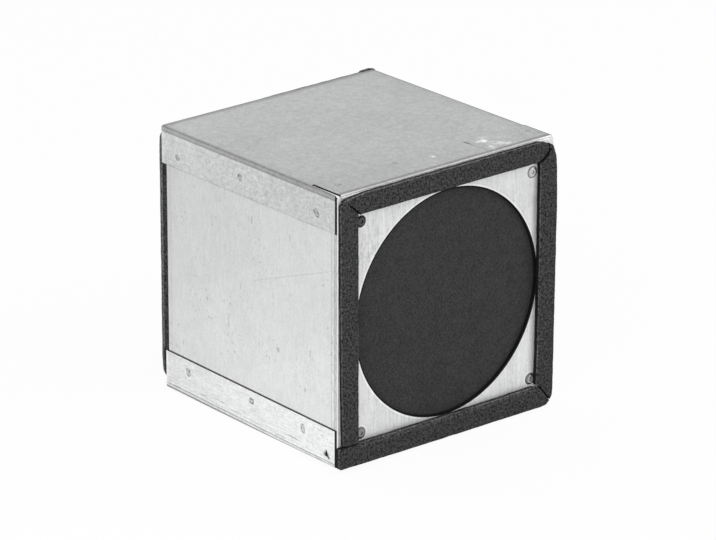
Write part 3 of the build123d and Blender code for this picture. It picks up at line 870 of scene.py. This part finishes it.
def foam_piece(name, slabs, material):
    """One foam strip: its slabs joined, then given soft uneven faces and open pits."""
    bm = bmesh.new()
    for corners, base_y, top_y, edge in slabs:
        slab(bm, corners, base_y, top_y, edge)
    piece = shown(name + "_foam", mesh_from(bm, name))
    remesh = piece.modifiers.new("even_mesh", "REMESH")
    remesh.mode = "VOXEL"
    remesh.voxel_size = FOAM_VOXEL
    smooth = piece.modifiers.new("soften", "SMOOTH")
    smooth.factor, smooth.iterations = FOAM_SOFTENING, 1
    displaced(piece, FOAM_LUMP_SIZE, FOAM_LUMP, name + "_lumps")
    displaced(piece, FOAM_PIT_SIZE, FOAM_PIT, name + "_pits")
    depsgraph = bpy.context.evaluated_depsgraph_get()
    made = bpy.data.meshes.new_from_object(piece.evaluated_get(depsgraph))
    piece.modifiers.clear()
    piece.data = made
    dressed(piece, name, material)


# Front foam strips, cut and laid by hand: their corners on the plate
FRONT_EDGE = 0.75
FRONT_STRIPS = {
    "front_seal_top": [
        (-84.6, 187.7, 0.5), (-40.0, 187.7, 0), (80.6, 187.6, 1.0, 0.7), (86.2, 190.0, 1.5, 0.6),
        (90.6, 193.4, 1.5, 0.6), (91.9, 196.2, 1.0, 0.6), (92.0, 198.3, 1.5, 0.7), (90.4, 200.6, 2.0),
        (84.0, 202.2, 3.0), (0.0, 202.4, 0), (-78.0, 202.3, 3.0), (-86.0, 201.6, 3.0),
        (-94.4, 200.7, 2.0), (-97.6, 199.6, 1.0, 0.6), (-98.3, 198.5, 0.4, 0.4), (-95.2, 197.7, 1.0, 0.6),
        (-91.9, 195.5, 1.0, 0.6), (-87.4, 191.5, 1.0, 0.6), (-84.6, 189.4, 1.0, 0.6),
    ],
    "front_seal_left": [
        (-97.3, 17.7, 0.8), (-84.5, 17.8, 0.6, 0.6), (-84.8, 50.0, 0), (-85.2, 150.0, 0),
        (-85.4, 186.5, 0), (-85.3, 188.4, 1.0, 0.6), (-88.0, 190.9, 1.0, 0.6), (-92.3, 194.8, 1.0, 0.6),
        (-95.6, 196.9, 1.0, 0.6), (-98.7, 197.9, 0.6, 0.4), (-100.1, 195.6, 1.0), (-100.2, 189.0, 3.0),
        (-100.0, 183.0, 0), (-99.6, 127.0, 0), (-98.8, 67.0, 0), (-97.8, 29.0, 0),
    ],
    "front_seal_right": [
        (84.2, 16.4, 0.6, 0.6), (88.0, 14.3, 0.8, 0.6), (91.6, 9.3, 1.0, 0.5), (96.3, 3.5, 0.3, 0.2),
        (97.3, 2.0, 0.4, 0.3), (99.4, 5.0, 1.5), (99.8, 10.0, 3.0), (100.0, 30.0, 0), (100.1, 62.0, 0),
        (100.4, 100.0, 0), (100.6, 130.0, 0), (100.8, 146.0, 6.0), (100.2, 176.0, 6.0),
        (99.4, 189.0, 6.0), (96.4, 197.4, 1.5), (94.7, 199.2, 0.8), (93.8, 198.0, 1.0, 0.6),
        (93.6, 195.2, 1.5, 0.6), (91.8, 191.9, 1.5, 0.6), (87.5, 188.8, 1.5, 0.6), (84.6, 187.0, 1.0),
        (84.9, 118.0, 0), (84.7, 40.0, 0),
    ],
    "front_seal_bottom": [
        (-101.6, 1.4, 1.2), (-84.0, 1.0, 0), (-28.0, -0.1, 0), (29.0, -1.0, 0), (73.0, -1.6, 0),
        (88.8, -1.9, 2.0), (94.0, -1.1, 1.5, 0.8), (96.9, 1.6, 0.6, 0.3), (95.9, 3.1, 0.3, 0.2),
        (91.2, 8.8, 1.0, 0.5), (87.2, 13.4, 1.0, 0.6), (81.8, 15.3, 1.4, 0.8), (45.0, 15.3, 0),
        (-19.0, 16.1, 0), (-61.0, 16.7, 0), (-84.0, 17.1, 0), (-101.7, 17.2, 1.4),
    ],
}
for name, corners in FRONT_STRIPS.items():
    foam_piece(name, [(corners, PLATE_Y, FOAM_FRONT_Y, FRONT_EDGE)], strip_foam)

# Rear foam strips: inside the lips of the covers, and proud of them behind. Each slab is its corners,
# its base, its top and the radius of its edges
INNER_EDGE, OUTER_EDGE = 1.1, 0.9
BEHIND_PANEL = REAR_FRAME_Y + 1.1 * MM
BEHIND_LIP = LIP_Y + 0.1 * MM
REAR_STRIPS = {
    "rear_seal_top": [
        ([(-98.4, 187.0, 1.2), (98.4, 187.0, 1.2), (98.4, 201.7, 1.2), (-98.4, 201.7, 1.2)],
         REAR_FRAME_Y, FOAM_REAR_Y, INNER_EDGE),
        ([(-100.2, 187.0, 0), (101.2, 187.0, 0), (101.8, 199.0, 2.0), (101.6, 202.6, 1.6), (95.4, 204.0, 1.2),
          (88.2, 203.6, 1.2), (86.4, 202.5, 0), (30.0, 202.4, 0), (-40.0, 202.0, 0), (-88.0, 201.4, 3.0),
          (-96.5, 199.6, 3.0), (-100.1, 194.0, 4.0)],
         BEHIND_LIP, FOAM_REAR_Y, OUTER_EDGE),
    ],
    "rear_seal_bottom": [
        ([(-94.6, 1.5, 1.2), (98.4, 1.5, 1.2), (98.4, 16.0, 1.2), (-97.4, 16.0, 1.2), (-96.0, 9.0, 3.0)],
         REAR_FRAME_Y, FOAM_REAR_Y, INNER_EDGE),
    ],
    "rear_seal_left": [
        ([(-98.0, 16.6, 1.2), (-84.0, 16.6, 1.2), (-84.0, 186.6, 1.2), (-98.4, 186.6, 1.2)],
         REAR_FRAME_Y, FOAM_REAR_Y, INNER_EDGE),
        ([(-97.0, 7.6, 3.0), (-90.0, 7.6, 1.4), (-90.0, 188.4, 0), (-100.3, 188.4, 0),
          (-100.3, 23.0, 8.0), (-99.6, 13.0, 3.0)],
         BEHIND_LIP, FOAM_REAR_Y, OUTER_EDGE),
        ([(-100.3, 31.6, 1.0), (-90.0, 31.6, 1.0), (-90.0, 173.6, 1.0), (-100.3, 173.6, 1.0)],
         BEHIND_PANEL, FOAM_REAR_Y, OUTER_EDGE),
    ],
    "rear_seal_right": [
        ([(84.0, 16.6, 1.2), (98.4, 16.6, 1.2), (98.4, 186.6, 1.2), (84.0, 186.6, 1.2)],
         REAR_FRAME_Y, FOAM_REAR_Y, INNER_EDGE),
        ([(90.0, 31.6, 1.0), (100.3, 31.6, 1.0), (100.3, 173.6, 1.0), (90.0, 173.6, 1.0)],
         BEHIND_PANEL, FOAM_REAR_Y, OUTER_EDGE),
    ],
}
for name, slabs in REAR_STRIPS.items():
    foam_piece(name, slabs, rear_foam)

LATHE_STEPS = 40


def lathe(bm, profile, place):
    """A turned form round a line along Y; the profile is points of (radius, depth)."""
    x, _, z = on_plate(*place)
    rings = []
    for radius, y in profile:
        if radius == 0:
            rings.append([bm.verts.new((x, depth(y), z))] * LATHE_STEPS)
            continue
        rings.append([
            bm.verts.new((x + radius * MM * math.cos(turn), depth(y), z + radius * MM * math.sin(turn)))
            for turn in (2 * math.pi * step / LATHE_STEPS for step in range(LATHE_STEPS))
        ])
    for inner, outer in zip(rings, rings[1:]):
        for step in range(LATHE_STEPS):
            after = (step + 1) % LATHE_STEPS
            corners = []
            for corner in (inner[step], inner[after], outer[after], outer[step]):
                if corner not in corners:
                    corners.append(corner)
            bm.faces.new(corners)


# Front blind rivets: a low flanged head with a rolled rim and the stub of its mandrel, a shank through
# the sheets behind it, whose thickness is the stack, and an upset tail
RIVET_STACKS = (3.5, 2.0, 2.0, 3.5)
RIVET_SHARP_ANGLE = 38
bm = bmesh.new()
for (place, *_), stack in zip(RIVET_PLACES_AND_TONES, RIVET_STACKS):
    lathe(bm, [
        (0, -0.55), (0.5, -0.6), (0.95, -0.5), (1.05, -0.3), (1.15, -0.95), (1.35, -1.05), (2.6, -1.02),
        (3.2, -0.9), (3.5, -0.72), (3.7, -0.7), (4.0, -0.62), (4.18, -0.4), (4.22, -0.15), (4.2, 0.0),
        (2.0, 0.0), (2.0, stack), (2.8, stack + 0.15), (3.0, stack + 0.6), (2.9, stack + 1.9),
        (2.4, stack + 2.4), (1.1, stack + 2.5), (0, stack + 2.1),
    ], place)
rivets = shown("front_rivet_heads", mesh_from(bm, "front_rivet_heads"))
dressed(rivets, "front_rivets", rivet_metal)
rivets.data.set_sharp_from_angle(angle=math.radians(RIVET_SHARP_ANGLE))

# Camera
azimuth, elevation = math.radians(CAMERA_AZIMUTH), math.radians(CAMERA_ELEVATION)
back = Vector((
    math.sin(azimuth) * math.cos(elevation), -math.cos(azimuth) * math.cos(elevation), math.sin(elevation)
))
right = Vector((math.cos(azimuth), math.sin(azimuth), 0))
up = back.cross(right)
roll = math.radians(CAMERA_ROLL)
rolled_right = right * math.cos(roll) - up * math.sin(roll)
rolled_up = right * math.sin(roll) + up * math.cos(roll)
camera_data = bpy.data.cameras.new("camera")
camera_data.lens = CAMERA_LENS
camera_data.sensor_width = SENSOR_WIDTH
camera_data.clip_end = CAMERA_REACH
camera = shown("camera", camera_data)
camera.matrix_world = Matrix((rolled_right, rolled_up, back)).transposed().to_4x4()
camera.location = AIM + back * CAMERA_DISTANCE - right * CAMERA_SHIFT_RIGHT - up * CAMERA_SHIFT_UP
scene.camera = camera


# Studio
def white_to_sight(tree, lit, white):
    """Mixes a shader for light with a plain white for what camera, gloss and glass see."""
    path = tree.nodes.new("ShaderNodeLightPath")
    seen = path.outputs["Is Camera Ray"]
    for name in ("Is Glossy Ray", "Is Transmission Ray"):
        either = tree.nodes.new("ShaderNodeMath")
        either.operation = "MAXIMUM"
        tree.links.new(seen, either.inputs[0])
        tree.links.new(path.outputs[name], either.inputs[1])
        seen = either.outputs[0]
    mix = tree.nodes.new("ShaderNodeMixShader")
    tree.links.new(seen, mix.inputs[0])
    tree.links.new(lit, mix.inputs[1])
    tree.links.new(white, mix.inputs[2])
    return mix.outputs[0]


WHITE = (1, 1, 1, 1)
WORLD_LIGHT = 0.74
world = bpy.data.worlds.new("studio")
scene.world = world
world.use_nodes = True
tree = world.node_tree
tree.nodes.clear()
lit, white = tree.nodes.new("ShaderNodeBackground"), tree.nodes.new("ShaderNodeBackground")
lit.inputs["Strength"].default_value = WORLD_LIGHT
lit.inputs["Color"].default_value = WHITE
white.inputs["Color"].default_value = WHITE
world_output = tree.nodes.new("ShaderNodeOutputWorld")
tree.links.new(white_to_sight(tree, lit.outputs[0], white.outputs[0]), world_output.inputs[0])

FLOOR_HALF = 6.0
FLOOR_WHITE_SHARE = 0.94
FLOOR_GREY = (0.9, 0.9, 0.9, 1)
FLOOR_Z = -2.3 * MM
floor_mesh = bpy.data.meshes.new("floor")
floor_mesh.from_pydata([
    (x * FLOOR_HALF, y * FLOOR_HALF, FLOOR_Z) for x, y in ((-1, -1), (1, -1), (1, 1), (-1, 1))
], [], [(0, 1, 2, 3)])
floor = shown("floor", floor_mesh)
floor_material = bpy.data.materials.new("floor")
floor_material.use_nodes = True
tree = floor_material.node_tree
tree.nodes.clear()
matt = tree.nodes.new("ShaderNodeBsdfDiffuse")
matt.inputs["Color"].default_value = FLOOR_GREY
glow = tree.nodes.new("ShaderNodeEmission")
blend = tree.nodes.new("ShaderNodeMixShader")
blend.inputs[0].default_value = FLOOR_WHITE_SHARE
tree.links.new(matt.outputs[0], blend.inputs[1])
tree.links.new(glow.outputs[0], blend.inputs[2])
output = tree.nodes.new("ShaderNodeOutputMaterial")
tree.links.new(white_to_sight(tree, matt.outputs[0], blend.outputs[0]), output.inputs[0])
floor_mesh.materials.append(floor_material)


LAMP_TARGET = Vector((0, 0, 0.1))
LAMP_SIZE = 1.6


def lamp(name, place, power):
    """A round soft lamp that points at the middle of the casing."""
    data = bpy.data.lights.new(name, "AREA")
    data.shape = "DISK"
    data.size = LAMP_SIZE
    data.energy = power
    light = shown(name, data)
    light.location = place
    light.rotation_euler = (LAMP_TARGET - Vector(place)).to_track_quat("-Z", "Y").to_euler()


lamp("key", (-1.6, -1.0, 1.5), 17)
lamp("fill", (1.5, -1.6, 1.2), 9)

scene.view_settings.view_transform = "Standard"
